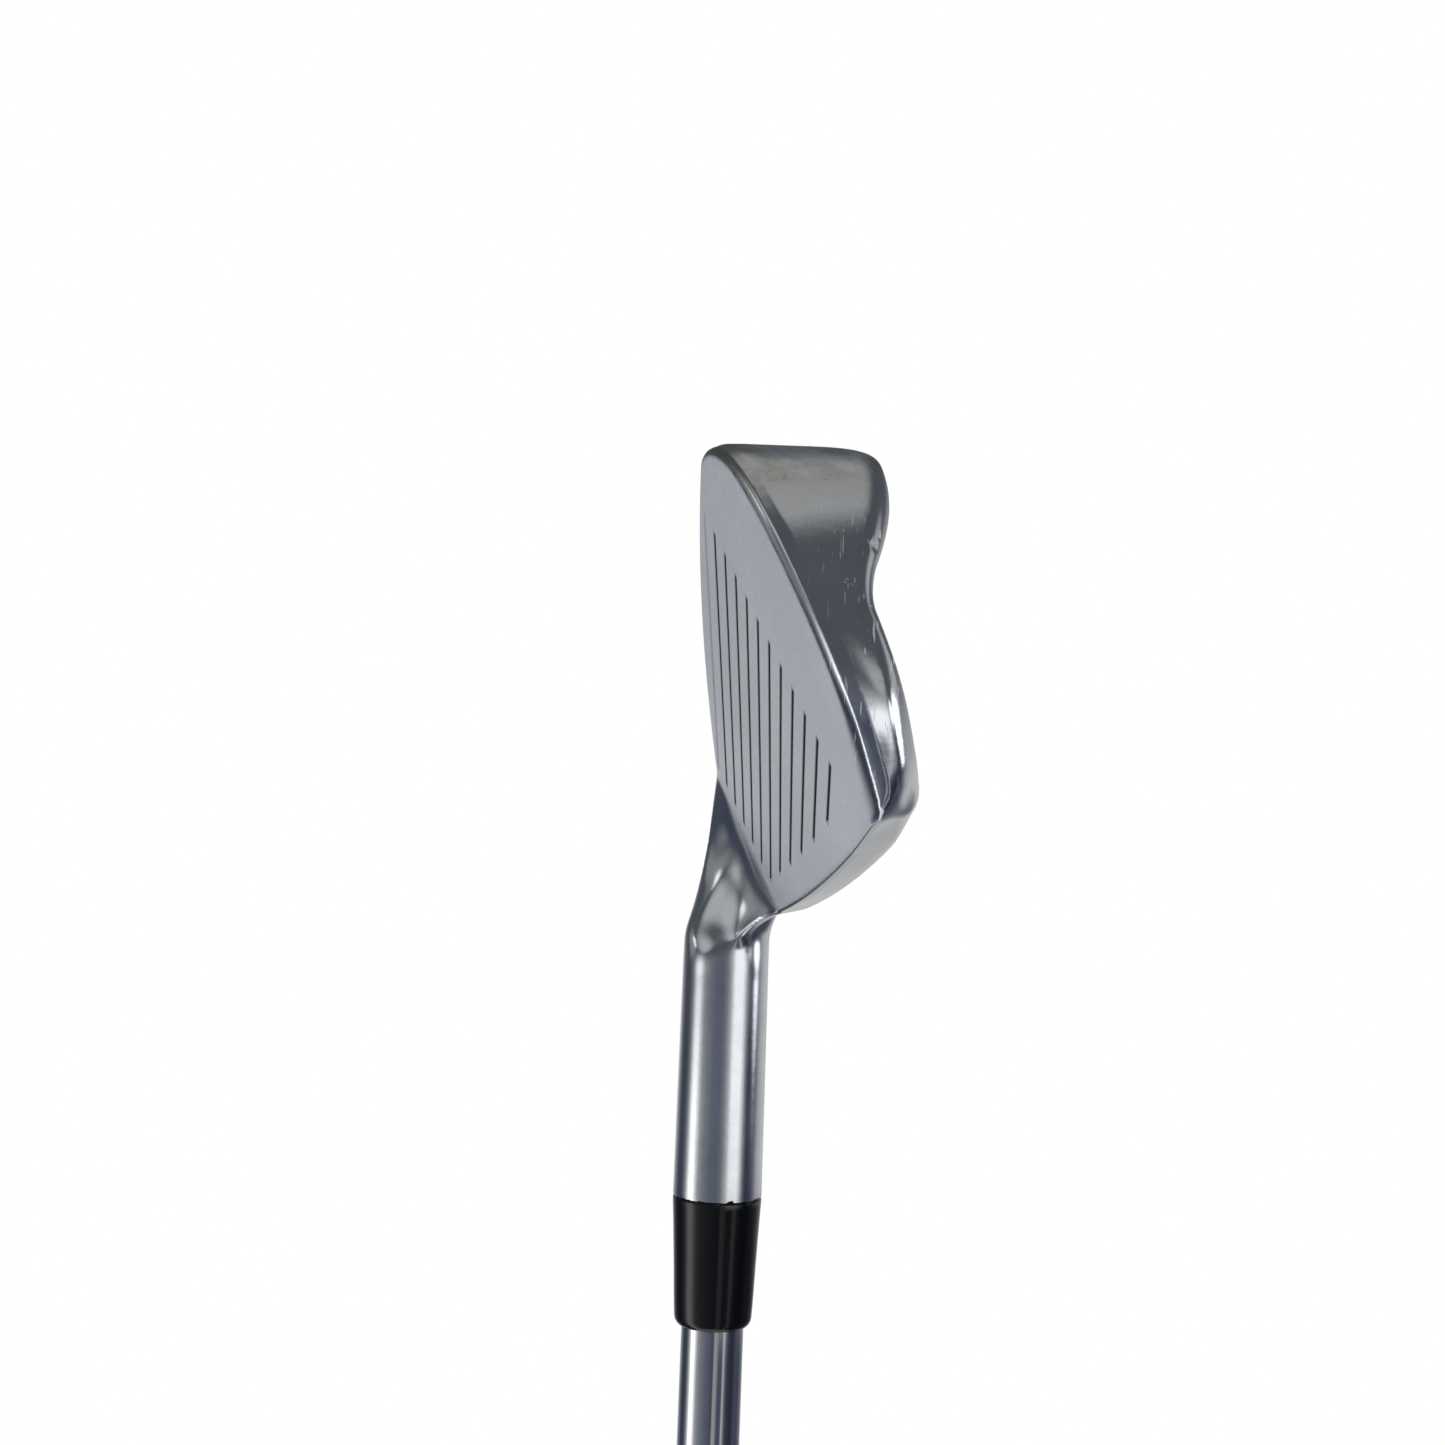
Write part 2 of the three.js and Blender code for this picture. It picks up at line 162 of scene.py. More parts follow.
TOE_ANGLE, TOE_RADIUS = polar_outline()


def toe_wall(h, v, n):
    """Distance outside the toe wall, whose outline leans in and rounds as it goes back."""
    lean = 1 - 0.0088 * np.maximum(0, n - 2)
    bevel = 1 + 0.038 * smoothstep(n, -0.4, 0.9) + 0.01 * smoothstep(n, 0, 4)
    x = TOE_CENTRE[0] + (h - TOE_CENTRE[0]) / lean
    y = TOE_CENTRE[1] + (v - TOE_CENTRE[1]) / lean
    x = BEVEL_CENTRE[0] + (x - BEVEL_CENTRE[0]) / bevel - TOE_CENTRE[0]
    y = BEVEL_CENTRE[1] + (y - BEVEL_CENTRE[1]) / bevel - TOE_CENTRE[1]
    angle = np.arctan2(y, x)
    crown = 0.6 * np.exp(-((v - 44.5) ** 2) / 50)
    corner = 2.4 * np.exp(-((h - 61) ** 2 + (v - 51.5) ** 2) / 14)
    swell = (crown - corner) * smoothstep(n, 0.5, 5.5)
    distance = np.hypot(x, y) - np.interp(angle, TOE_ANGLE, TOE_RADIUS) - swell
    return np.where(np.abs(angle) < 1.25, distance, -20.0)


def curve_to(start, control, end, steps=8):
    t = np.linspace(0, 1, steps, endpoint=False)[:, None]
    a, b, c = (np.array(p, float) for p in (start, control, end))
    return (1 - t) ** 2 * a + 2 * t * (1 - t) * b + t * t * c


CAVITY_CURVES = [((13, 15.5), (16, 9.5), (24, 8.5)), ((24, 8.5), (34, 8.5), (44, 8.5)),
                 ((44, 8.5), (53, 9.5), (56, 19)), ((56, 19), (64.6, 25), (65.4, 31)),
                 ((65.4, 31), (65.6, 37.6), (61.2, 41.4)), ((61.2, 41.4), (58, 44), (52, 41.8)),
                 ((52, 41.8), (33.5, 34.2), (15, 26.6)), ((15, 26.6), (9.5, 23.5), (10, 20.5)),
                 ((10, 20.5), (10.6, 17.5), (13, 15.5))]
CAVITY_OUTLINE = np.vstack([curve_to(*c) for c in CAVITY_CURVES])


def outline_distance(x, y, outline):
    """Signed distance to a closed outline, negative inside."""
    nearest = np.full(x.shape, 1e9)
    inside = np.zeros(x.shape, bool)
    for (ax, ay), (bx, by) in zip(outline, np.roll(outline, -1, 0)):
        ex, ey = bx - ax, by - ay
        t = np.clip(((x - ax) * ex + (y - ay) * ey) / (ex * ex + ey * ey + 1e-12), 0, 1)
        nearest = np.minimum(nearest, (x - ax - t * ex) ** 2 + (y - ay - t * ey) ** 2)
        crosses = (ay > y) != (by > y)
        inside ^= crosses & (x < (bx - ax) * (y - ay) / (by - ay + 1e-12) + ax)
    return np.sqrt(nearest) * np.where(inside, -1, 1)


def score_starts():
    starts = []
    for i in range(SCORE_LINES):
        v = i * SCORE_PITCH
        h = 0.0
        while top_edge(h) - SCORE_TOPLINE_GAP < v:
            h += 0.25
        starts.append((v, h))
    return starts


SCORES = score_starts()
SHAFT_FOOT = np.array([-AXIS_HEELWARD, SIN_LOFT * AXIS_BEHIND - COS_LOFT * GROUND_DROP,
                       COS_LOFT * AXIS_BEHIND + SIN_LOFT * GROUND_DROP])
SHAFT_UP = np.array([-COS_LIE, COS_LOFT * SIN_LIE, -SIN_LOFT * SIN_LIE])


def score_depth(h, v, n):
    """Positive inside a score line's V groove."""
    groove = np.full(np.broadcast(h, v, n).shape, -9.0)
    for line, start in SCORES:
        wedge = (SCORE_HALF_WIDTH - np.abs(v - line) - n) * 0.707
        ends = np.minimum(h - start, SCORE_LENGTH - h) * 0.8 - n * 0.4
        groove = np.maximum(groove, np.minimum(wedge, ends))
    return groove


def shaft_polar(h, v, n):
    """Height along the shaft above the ground and distance from its axis."""
    d = [h - SHAFT_FOOT[0], v - SHAFT_FOOT[1], n - SHAFT_FOOT[2]]
    along = d[0] * SHAFT_UP[0] + d[1] * SHAFT_UP[1] + d[2] * SHAFT_UP[2]
    off = [d[i] - along * SHAFT_UP[i] for i in range(3)]
    return along, np.sqrt(off[0] ** 2 + off[1] ** 2 + off[2] ** 2)


def blade_field(h, v, n):
    """The blade alone, which would run on past the heel."""
    top = (v - top_edge(h) - 0.25 + (0.06 - 0.3 * topline_rise(h)) * n) * 0.91
    share = (v - leading_edge(h)) / bar_height(h)
    flange = 6.1 + 0.5 * (1 - topline_rise(h) / 0.85) + 0.055 * (top_edge(h) - v)
    bar = (19 - 16.8 * (share - 0.36) ** 2) * bar_scale(h)
    back = (n - smooth_max(flange, bar, 3.0)) * 0.8
    m = np.clip(n, -2, 24) - 3
    bottom = (leading_edge(h) - 0.95 + 0.13 * m + 0.0195 * m * m - v) * 0.93
    body = smooth_max(-n, top, 0.9)
    body = smooth_max(body, bottom, 2.6)
    corner = 5 - 2.5 * smoothstep(v - leading_edge(h), 6, 20)
    body = smooth_max(body, back, corner)
    rear_edge = 1.3 + 0.9 * smoothstep(v, 36, 46) + 2.0 * smoothstep(-v, -9, 0)
    face_edge = 0.5 + 2.0 * smoothstep(v, 38, 52)
    return smooth_max(body, toe_wall(h, v, n), face_edge + rear_edge * smoothstep(n, 1.5, 6))


def section_to_face(back, reach):
    """A point of the heel section, by its distance back and from the pivot, in v and n."""
    level = PIVOT_HEIGHT - reach
    return back * SIN_LOFT + level * COS_LOFT, back * COS_LOFT - level * SIN_LOFT


def heel_radii():
    """Polar radius of the blade's section about SECTION_CENTRE, for some stations past the heel."""
    angles = np.linspace(-math.pi, math.pi, HEEL_ANGLES)
    radii = np.arange(0.5, 40, 0.1)
    table = np.empty((len(HEEL_STATIONS), HEEL_ANGLES))
    grid_r, grid_a = np.meshgrid(radii, angles, indexing="ij")
    back = SECTION_CENTRE[0] + grid_r * np.sin(grid_a)
    reach = SECTION_CENTRE[1] + grid_r * np.cos(grid_a)
    v, n = section_to_face(back, reach)
    for i, station in enumerate(HEEL_STATIONS):
        field = blade_field(np.full_like(v, station), v, n)
        first = np.argmax(field > 0, axis=0)
        cols = np.arange(HEEL_ANGLES)
        low, high = field[first - 1, cols], field[first, cols]
        table[i] = radii[first] - 0.1 * high / (high - low)
    return table


# Centre of the heel section: distance back and distance from the pivot.
SECTION_CENTRE = (8.2, 22.3)
HEEL_ANGLES = 721
HEEL_STATIONS = FACE_HEEL - np.arange(RUN_ON + 1)
HEEL_TABLE = heel_radii()


def heel_radius(angle, station):
    """Bilinear look-up in HEEL_TABLE."""
    row = np.clip(FACE_HEEL - station, 0, RUN_ON - 0.001)
    column = (angle + math.pi) / (2 * math.pi) * (HEEL_ANGLES - 1)
    i = row.astype(int)
    j = np.clip(column.astype(int), 0, HEEL_ANGLES - 2)
    fi, fj = row - i, column - j
    near = HEEL_TABLE[i, j] * (1 - fj) + HEEL_TABLE[i, j + 1] * fj
    far = HEEL_TABLE[i + 1, j] * (1 - fj) + HEEL_TABLE[i + 1, j + 1] * fj
    return near * (1 - fi) + far * fi


def solid_field(h, v, n):
    """Blade, heel bend and hosel. The bend turns the blade's heel section about a pivot
    above the crotch while it changes to the hosel's circle."""
    h, v, n = np.broadcast_arrays(h, v, n)
    back = v * SIN_LOFT + n * COS_LOFT
    up = v * COS_LOFT - n * SIN_LOFT
    along, radius = shaft_polar(h, v, n)
    rise = (along - HOSEL_NECK_HEIGHT) / (HOSEL_TOP - HOSEL_NECK_HEIGHT)
    swell = (HOSEL_RADIUS - HOSEL_NECK_RADIUS) * np.clip(rise, 0, 1)
    hosel = radius - HOSEL_NECK_RADIUS - swell
    toward_heel = FACE_HEEL - h
    below = PIVOT_HEIGHT - up
    angle = np.arctan2(toward_heel, below)
    out = np.where(angle >= LIE, hosel, 0.0)
    blade = angle <= 0
    out[blade] = blade_field(h[blade], v[blade], n[blade])
    bend = (angle > 0) & (angle < LIE + STRAIGHTEN)
    curved = bend_field(back[bend], np.hypot(toward_heel, below)[bend], angle[bend])
    straight = smoothstep(angle[bend], LIE - 0.6 * STRAIGHTEN, LIE + STRAIGHTEN)
    out[bend] = curved + (hosel[bend] - curved) * straight
    return out


# Angles over which the crotch's slower change fades round the section.
CROTCH_FRONT = 0.9
CROTCH_REAR = 0.45


def bend_field(back, reach, angle):
    """Distance outside the bend. The front leads the change to the circle and the crotch lags."""
    share = np.minimum(angle / LIE, 1)
    slow = smoothstep(share, 0, 1)
    fast = 1 - (1 - share * share / (share + 0.03)) ** 3
    late = smoothstep(angle, 0.1, LIE + 0.3)
    weight = slow
    for _ in range(3):
        x = back - (SECTION_CENTRE[0] + (AXIS_BEHIND - SECTION_CENTRE[0]) * weight)
        y = reach - (SECTION_CENTRE[1] + (PIVOT_TO_AXIS - SECTION_CENTRE[1]) * weight)
        turn = np.arctan2(x, y)
        lead = np.exp(-(((turn + 0.65) / 0.6) ** 2))
        spread = np.where(turn < 0, CROTCH_FRONT, CROTCH_REAR)
        inner = np.exp(-(((np.abs(turn) - math.pi) / spread) ** 2))
        weight = slow + (fast - slow) * lead + (late - slow) * inner
    run_on = RUN_ON * (1 - np.exp(-reach * angle / RUN_ON))
    blade = heel_radius(turn, FACE_HEEL - run_on)
    wanted = blade + (HOSEL_NECK_RADIUS - blade) * weight
    return np.hypot(x, y) - wanted


# Centre and radius of the knocks on the toe's rear edge.
KNOCKS = [((74.2, 25.6, 11.9), 1.5), ((74.6, 23.2, 13.0), 0.9), ((74.4, 14.8, 16.2), 0.9)]


def head_field(h, v, n, cavity_outline=None, scored=True):
    """Negative inside the head, zero on its surface."""
    solid = solid_field(h, v, n)
    along, bore = shaft_polar(h, v, n)
    solid = smooth_max(solid, along - HOSEL_TOP, 0.2)
    bore = smooth_max(bore - BORE_RADIUS, HOSEL_TOP - BORE_DEPTH - along, 0.6)
    solid = smooth_max(solid, -bore, 0.3)
    if cavity_outline is None:
        cavity_outline = outline_distance(h, v, CAVITY_OUTLINE)
    draft = CAVITY_DRAFT * np.maximum(n - CAVITY_FLOOR, 0)
    cavity = smooth_max(cavity_outline - CAVITY_MARGIN - draft, CAVITY_FLOOR - n, 4.0)
    solid = smooth_max(solid, -cavity, 1.6)
    for centre, size in KNOCKS:
        away = np.sqrt((h - centre[0]) ** 2 + (v - centre[1]) ** 2 + (n - centre[2]) ** 2)
        solid = smooth_max(solid, size - away, 0.5)
    return np.maximum(solid, score_depth(h, v, n)) if scored else solid


# ---------------------------------------------------------------- surface net
def spans(parts):
    """Grid planes from (start, end, step) runs."""
    out = [parts[0][0]]
    for low, high, step in parts:
        count = max(1, round((high - low) / step))
        out.extend(low + (high - low) * (i + 1) / count for i in range(count))
    return np.array(out, float)


def crossings(inside, axis):
    near = [slice(None)] * 3
    far = [slice(None)] * 3
    near[axis], far[axis] = slice(None, -1), slice(1, None)
    return inside[tuple(near)] != inside[tuple(far)]


def surface_net(field, xs, ys, zs):
    """Points and quads of the zero surface of a field sampled on a grid."""
    inside = field < 0
    cells = np.zeros([s - 1 for s in field.shape], bool)
    corners = [(a, b, c) for a in (0, 1) for b in (0, 1) for c in (0, 1)]
    nx, ny, nz = cells.shape
    total = np.zeros(cells.shape, np.int8)
    for a, b, c in corners:
        total += inside[a:a + nx, b:b + ny, c:c + nz]
    cells = (total > 0) & (total < 8)
    ci, cj, ck = np.nonzero(cells)
    index = np.full(cells.shape, -1, np.int64)
    index[ci, cj, ck] = np.arange(len(ci))
    grid = (xs, ys, zs)
    where = np.zeros((len(ci), 3))
    count = np.zeros(len(ci))
    for first in corners:
        for axis in range(3):
            if first[axis]:
                continue
            second = list(first)
            second[axis] = 1
            f0 = field[ci + first[0], cj + first[1], ck + first[2]]
            f1 = field[ci + second[0], cj + second[1], ck + second[2]]
            hit = (f0 < 0) != (f1 < 0)
            t = np.where(hit, f0 / np.where(hit, f0 - f1, 1), 0)
            for d, cell in enumerate((ci, cj, ck)):
                p0 = grid[d][cell + first[d]]
                p1 = grid[d][cell + second[d]]
                where[:, d] += np.where(hit, p0 + (p1 - p0) * t, 0)
            count += hit
    where /= count[:, None]
    quads = []
    for axis in range(3):
        i, j, k = np.nonzero(crossings(inside, axis))
        u, w = [(1, 2), (2, 0), (0, 1)][axis]
        at = np.stack([i, j, k], 1)
        ok = (at[:, u] > 0) & (at[:, w] > 0)
        at = at[ok]
        outward = inside[at[:, 0], at[:, 1], at[:, 2]]
        ring = []
        for du, dw in ((1, 1), (0, 1), (0, 0), (1, 0)):
            c = at.copy()
            c[:, u] -= du
            c[:, w] -= dw
            ring.append(index[c[:, 0], c[:, 1], c[:, 2]])
        ring = np.stack(ring, 1)
        ring[~outward] = ring[~outward][:, ::-1]
        quads.append(ring)
    return where, np.vstack(quads)


def gradient(p, step=0.04, scored=True):
    g = np.empty_like(p)
    for d in range(3):
        hi, lo = p.copy(), p.copy()
        hi[:, d] += step
        lo[:, d] -= step
        rise = head_field(*hi.T, scored=scored) - head_field(*lo.T, scored=scored)
        g[:, d] = rise / (2 * step)
    return g


def head_mesh():
    score_planes = []
    edge = -8.9
    for line, _ in SCORES:
        score_planes.append((edge, line - 0.6, 0.6))
        score_planes.append((line - 0.6, line + 0.6, 0.15))
        edge = line + 0.6
    score_planes.append((edge, 60.0, 0.6))
    hs = spans([(-45.0, -4.0, 0.6), (-4.0, 60.0, 0.8), (60.0, 80.4, 0.5)])
    vs = spans(score_planes)
    ns = spans([(-31.0, -0.5, 0.6), (-0.5, 0.7, 0.12), (0.7, 3.0, 0.45), (3.0, 24.5, 0.65)])
    flat_h, flat_v = np.meshgrid(hs, vs, indexing="ij")
    cavity = outline_distance(flat_h, flat_v, CAVITY_OUTLINE)[:, :, None]
    field = np.empty((len(hs), len(vs), len(ns)))
    for start in range(0, len(hs), 24):
        part = slice(start, start + 24)
        h, v, n = np.meshgrid(hs[part], vs, ns, indexing="ij")
        field[part] = head_field(h, v, n, cavity[part])
    points, quads = surface_net(field, hs, vs, ns)
    for _ in range(4):
        g = gradient(points)
        f = head_field(*points.T)
        step = -f[:, None] * g / np.maximum((g * g).sum(1), 0.05)[:, None]
        points += np.clip(step, -0.25, 0.25)
    normals = gradient(points, 0.06)
    along, radius = shaft_polar(*points.T)
    rim = (along > HOSEL_TOP - 1.2) & (radius > 6.2)
    out = points - SHAFT_FOOT - along[:, None] * SHAFT_UP
    normals[rim] = out[rim]
    normals /= np.maximum(np.linalg.norm(normals, axis=1), 1e-9)[:, None]
    return points, quads, normals


def mesh_object(name, vertices, faces, normals=None):
    mesh = bpy.data.meshes.new(name)
    mesh.from_pydata([tuple(v) for v in vertices], [], [tuple(f) for f in faces])
    mesh.polygons.foreach_set("use_smooth", [True] * len(mesh.polygons))
    mesh.validate()
    if normals is not None:
        mesh.normals_split_custom_set_from_vertices([tuple(n) for n in normals])
    obj = bpy.data.objects.new(name, mesh)
    bpy.context.scene.collection.objects.link(obj)
    return obj


def add_float(obj, name, values):
    layer = obj.data.attributes.new(name, "FLOAT", "POINT")
    layer.data.foreach_set("value", np.asarray(values, np.float32))


# ---------------------------------------------------------------- lathes
def lathe(name, profile, sides, sharp=35.0, pushed=None):
    """Turns a closed profile of (radius, height), mm, about the shaft axis."""
    angles = np.arange(sides) * 2 * math.pi / sides
    prof = np.array(profile, float)
    radius = np.repeat(prof[:, :1], sides, 1)
    height = np.repeat(prof[:, 1:], sides, 1)
    turn = np.repeat(angles[None], len(prof), 0)
    if pushed is not None:
        radius = radius + pushed(radius, turn, height)
    rings = np.stack([radius * np.cos(turn), radius * np.sin(turn), height], 2) * MM
    faces = []
    rows = len(prof)
    for r in range(rows):
        nxt = (r + 1) % rows
        for s in range(sides):
            t = (s + 1) % sides
            faces.append((r * sides + s, r * sides + t, nxt * sides + t, nxt * sides + s))
    obj = mesh_object(name, rings.reshape(-1, 3), faces)
    obj.data.set_sharp_from_angle(angle=math.radians(sharp))
    return obj


def refine(profile, step):
    """Adds points along the long straight runs of a profile."""
    out = []
    for (r0, z0), (r1, z1) in zip(profile, profile[1:]):
        count = max(1, round(math.hypot(r1 - r0, z1 - z0) / step))
        out.extend((r0 + (r1 - r0) * i / count, z0 + (z1 - z0) * i / count)
                   for i in range(count))
    out.append(profile[-1])
    return out


# ---------------------------------------------------------------- material helpers
def material(name):
    mat = bpy.data.materials.new(name)
    mat.use_nodes = True
    return mat, mat.node_tree, mat.node_tree.nodes["Principled BSDF"]


def node(tree, kind, **settings):
    made = tree.nodes.new(kind)
    for key, value in settings.items():
        if key in made.inputs:
            made.inputs[key].default_value = value
        else:
            setattr(made, key, value)
    return made


def object_coords(tree, scale=(1, 1, 1), rotation=(0, 0, 0)):
    coords = node(tree, "ShaderNodeTexCoord")
    mapping = node(tree, "ShaderNodeMapping")
    mapping.inputs["Scale"].default_value = scale
    mapping.inputs["Rotation"].default_value = rotation
    tree.links.new(coords.outputs["Object"], mapping.inputs["Vector"])
    return mapping.outputs["Vector"]


def noise(tree, vector, scale, detail=4.0, roughness=0.6):
    made = node(tree, "ShaderNodeTexNoise")
    made.inputs["Scale"].default_value = scale
    made.inputs["Detail"].default_value = detail
    made.inputs["Roughness"].default_value = roughness
    tree.links.new(vector, made.inputs["Vector"])
    return made.outputs["Fac"]


def remap(tree, value, from_low, from_high, to_low, to_high):
    made = node(tree, "ShaderNodeMapRange")
    made.inputs["From Min"].default_value = from_low
    made.inputs["From Max"].default_value = from_high
    made.inputs["To Min"].default_value = to_low
    made.inputs["To Max"].default_value = to_high
    tree.links.new(value, made.inputs["Value"])
    return made.outputs["Result"]


def math_node(tree, operation, a, b=None, c=None):
    made = node(tree, "ShaderNodeMath", operation=operation)
    for i, value in enumerate((a, b, c)):
        if value is None:
            continue
        if isinstance(value, (int, float)):
            made.inputs[i].default_value = value
        else:
            tree.links.new(value, made.inputs[i])
    return made.outputs["Value"]


def mix_colour(tree, factor, a, b, blend="MIX"):
    made = node(tree, "ShaderNodeMix", data_type="RGBA", blend_type=blend)
    sockets = [s for s in made.inputs if s.enabled]
    by_name = {s.name: s for s in sockets}
    for name, value in (("Factor", factor), ("A", a), ("B", b)):
        if isinstance(value, (int, float, tuple)):
            by_name[name].default_value = value
        else:
            tree.links.new(value, by_name[name])
    return [s for s in made.outputs if s.enabled][0]


def bump(tree, shader, height, strength, distance):
    made = node(tree, "ShaderNodeBump")
    made.inputs["Strength"].default_value = strength
    made.inputs["Distance"].default_value = distance
    tree.links.new(height, made.inputs["Height"])
    tree.links.new(made.outputs["Normal"], shader.inputs["Normal"])


# ---------------------------------------------------------------- head material
def attribute(tree, name):
    return node(tree, "ShaderNodeAttribute", attribute_name=name).outputs["Fac"]


def scratches(tree, turn, seed_scale):
    """Short fine lines along one direction."""
    coords = object_coords(tree, (2600, 260 * seed_scale, 260 * seed_scale), turn)
    lines = noise(tree, coords, 1.0, 1.0, 0.5)
    return remap(tree, lines, 0.69, 0.73, 0, 1)


def head_material():
    mat, tree, shader = material("worn_chrome")
    link = tree.links.new
    coords = object_coords(tree)
    face, groove = attribute(tree, "face"), attribute(tree, "groove")
    worn, scuff = attribute(tree, "worn"), attribute(tree, "scuff")
    cloud = noise(tree, coords, 110, 7, 0.68)
    fine = noise(tree, coords, 900, 4, 0.6)
    speck = noise(tree, coords, 420, 6, 0.75)
    broad = noise(tree, coords, 45, 3, 0.5)

    chrome = mix_colour(tree, remap(tree, cloud, 0.35, 0.65, 0, 1),
                        (0.66, 0.69, 0.73, 1), (0.78, 0.80, 0.83, 1))
    stain = math_node(tree, "MULTIPLY", worn, remap(tree, cloud, 0.44, 0.56, 0.05, 1))
    patina = mix_colour(tree, stain, chrome, (0.47, 0.455, 0.41, 1))
    spots = math_node(tree, "MULTIPLY", worn, remap(tree, speck, 0.6, 0.68, 0, 0.55))
    patina = mix_colour(tree, spots, patina, (0.13, 0.12, 0.105, 1))
    marks = math_node(tree, "MAXIMUM", scratches(tree, (0.3, 0.9, 0.2), 1.0),
                      scratches(tree, (0.9, 0.3, 1.1), 1.3))
    marks = math_node(tree, "MAXIMUM", marks, remap(tree, speck, 0.66, 0.7, 0, 1))
    marks = math_node(tree, "MULTIPLY", marks, scuff)
    patina = mix_colour(tree, marks, patina, (0.95, 0.96, 0.98, 1))
    satin = mix_colour(tree, remap(tree, fine, 0.3, 0.7, 0, 1),
                       (0.66, 0.685, 0.73, 1), (0.78, 0.805, 0.85, 1))
    satin = mix_colour(tree, remap(tree, broad, 0.4, 0.6, 0, 0.35), satin, (0.59, 0.61, 0.65, 1))
    colour = mix_colour(tree, face, patina, satin)
    # Painted shade: the score lines are coloured near black to stand for the shade inside the
    # grooves.
    colour = mix_colour(tree, groove, colour, (0.012, 0.013, 0.017, 1))
    link(colour, shader.inputs["Base Color"])

    metallic = math_node(tree, "MULTIPLY_ADD", face, -0.45, 1.0)
    metallic = math_node(tree, "MULTIPLY_ADD", marks, -0.6, metallic)
    bare = math_node(tree, "SUBTRACT", 1.0, groove)
    link(math_node(tree, "MULTIPLY", metallic, bare), shader.inputs["Metallic"])

    body_rough = remap(tree, broad, 0.35, 0.65, 0.1, 0.16)
    body_rough = math_node(tree, "MULTIPLY_ADD", worn, 0.16, body_rough)
    body_rough = math_node(tree, "MULTIPLY_ADD", marks, 0.3, body_rough)
    rough = node(tree, "ShaderNodeMix", data_type="FLOAT")
    link(face, rough.inputs[0])
    link(body_rough, rough.inputs[2])
    link(remap(tree, fine, 0.3, 0.7, 0.40, 0.52), rough.inputs[3])
    link(math_node(tree, "MULTIPLY_ADD", groove, 0.3, rough.outputs[0]),
         shader.inputs["Roughness"])

    ding = node(tree, "ShaderNodeTexVoronoi", feature="F1")
    ding.inputs["Scale"].default_value = 420
    link(coords, ding.inputs["Vector"])
    pit = remap(tree, ding.outputs["Distance"], 0.0, 0.2, 1, 0)
    pit = math_node(tree, "MULTIPLY", pit, remap(tree, scuff, 0.3, 0.9, 0, 1))
    height = math_node(tree, "MULTIPLY_ADD", fine, 0.3, math_node(tree, "MULTIPLY", pit, -1.2))
    height = math_node(tree, "MULTIPLY_ADD", marks, -0.5, height)
    bump(tree, shader, height, 0.14, 0.00025)
    return mat


# ---------------------------------------------------------------- the pieces
def build_head():
    points, quads, normals = head_mesh()
    h, v, n = points.T
    row_points = to_row(points)
    turned = to_row(points + normals) - row_points
    head = mesh_object("iron_head", row_points, quads, turned / MM)
    plain = gradient(points, 0.1, scored=False)
    plain /= np.maximum(np.linalg.norm(plain, axis=1), 1e-9)[:, None]
    flat = smoothstep(-plain[:, 2], 0.93, 0.995) * (n < 0.6)
    # Where painted shade darkens the score lines; the lowest line gets less of it and shows
    # lighter.
    groove = smoothstep(score_depth(h, v, n), -0.09, -0.01) * (0.4 + 0.6 * smoothstep(v, 0.5, 2))
    face = flat * smoothstep(h, -6.5, -1.0)
    corner = np.exp(-((h - 72) ** 2 / 120 + (v - 2) ** 2 / 160))
    sole_wear = smoothstep(h, 56, 70) * smoothstep(-v, -26, -6)
    worn = np.clip(0.4 * corner + 0.8 * sole_wear, 0, 1)
    add_float(head, "face", face)
    add_float(head, "groove", groove)
    add_float(head, "worn", worn)
    scuff = np.exp(-((h - 70.5) ** 2 / 40 + (v - 42) ** 2 / 40 + (n - 5) ** 2 / 30))
    scuff = scuff + 0.5 * np.exp(-((h - 74) ** 2 / 30 + (v - 30) ** 2 / 120 + (n - 7) ** 2 / 12))
    scuff = scuff + np.exp(-((v - 25) ** 2 / 8 + (n - 11.5) ** 2 / 4)) * (h > 60)
    add_float(head, "scuff", np.clip(scuff, 0, 1))
    return head


def ferrule_profile():
    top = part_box("ferrule")[1].z / MM
    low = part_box("ferrule")[0].z / MM
    outer = [(4.95, low), (5.3, low + 0.1), (5.55, low + 0.35), (5.75, low + 0.7),
             (5.85, low + 1.1), (5.95, low + 2.6), (6.07, low + 5), (6.2, low + 8),
             (6.35, low + 11), (6.56, low + 15), (6.76, top - 0.4), (6.74, top - 0.15),
             (6.61, top)]
    return [(4.76, low)] + refine(outer, 0.6) + [(4.76, top)]


def plastic_material(name, colour, rough):
    mat, tree, shader = material(name)
    coords = object_coords(tree)
    fine = noise(tree, coords, 1400, 3, 0.6)
    broad = noise(tree, coords, 120, 4, 0.6)
    shade = mix_colour(tree, remap(tree, broad, 0.3, 0.7, 0, 1),
                       tuple(c * 0.75 for c in colour[:3]) + (1,), colour)
    tree.links.new(shade, shader.inputs["Base Color"])
    tree.links.new(remap(tree, fine, 0.3, 0.7, rough - 0.04, rough + 0.06),
                   shader.inputs["Roughness"])
    shader.inputs["Specular IOR Level"].default_value = 0.6
    bump(tree, shader, fine, 0.05, 0.00008)
    return mat


def shaft_chrome():
    mat, tree, shader = material("mirror_chrome")
    coords = object_coords(tree)
    streaks = noise(tree, object_coords(tree, (1, 1, 0.004)), 1500, 3, 0.6)
    broad = noise(tree, coords, 60, 4, 0.6)
    colour = mix_colour(tree, remap(tree, broad, 0.35, 0.65, 0, 1),
                        (0.72, 0.73, 0.76, 1), (0.82, 0.83, 0.86, 1))
    tree.links.new(colour, shader.inputs["Base Color"])
    shader.inputs["Metallic"].default_value = 1.0
    tree.links.new(remap(tree, streaks, 0.3, 0.7, 0.03, 0.10), shader.inputs["Roughness"])
    bump(tree, shader, streaks, 0.1, 0.00006)
    return mat


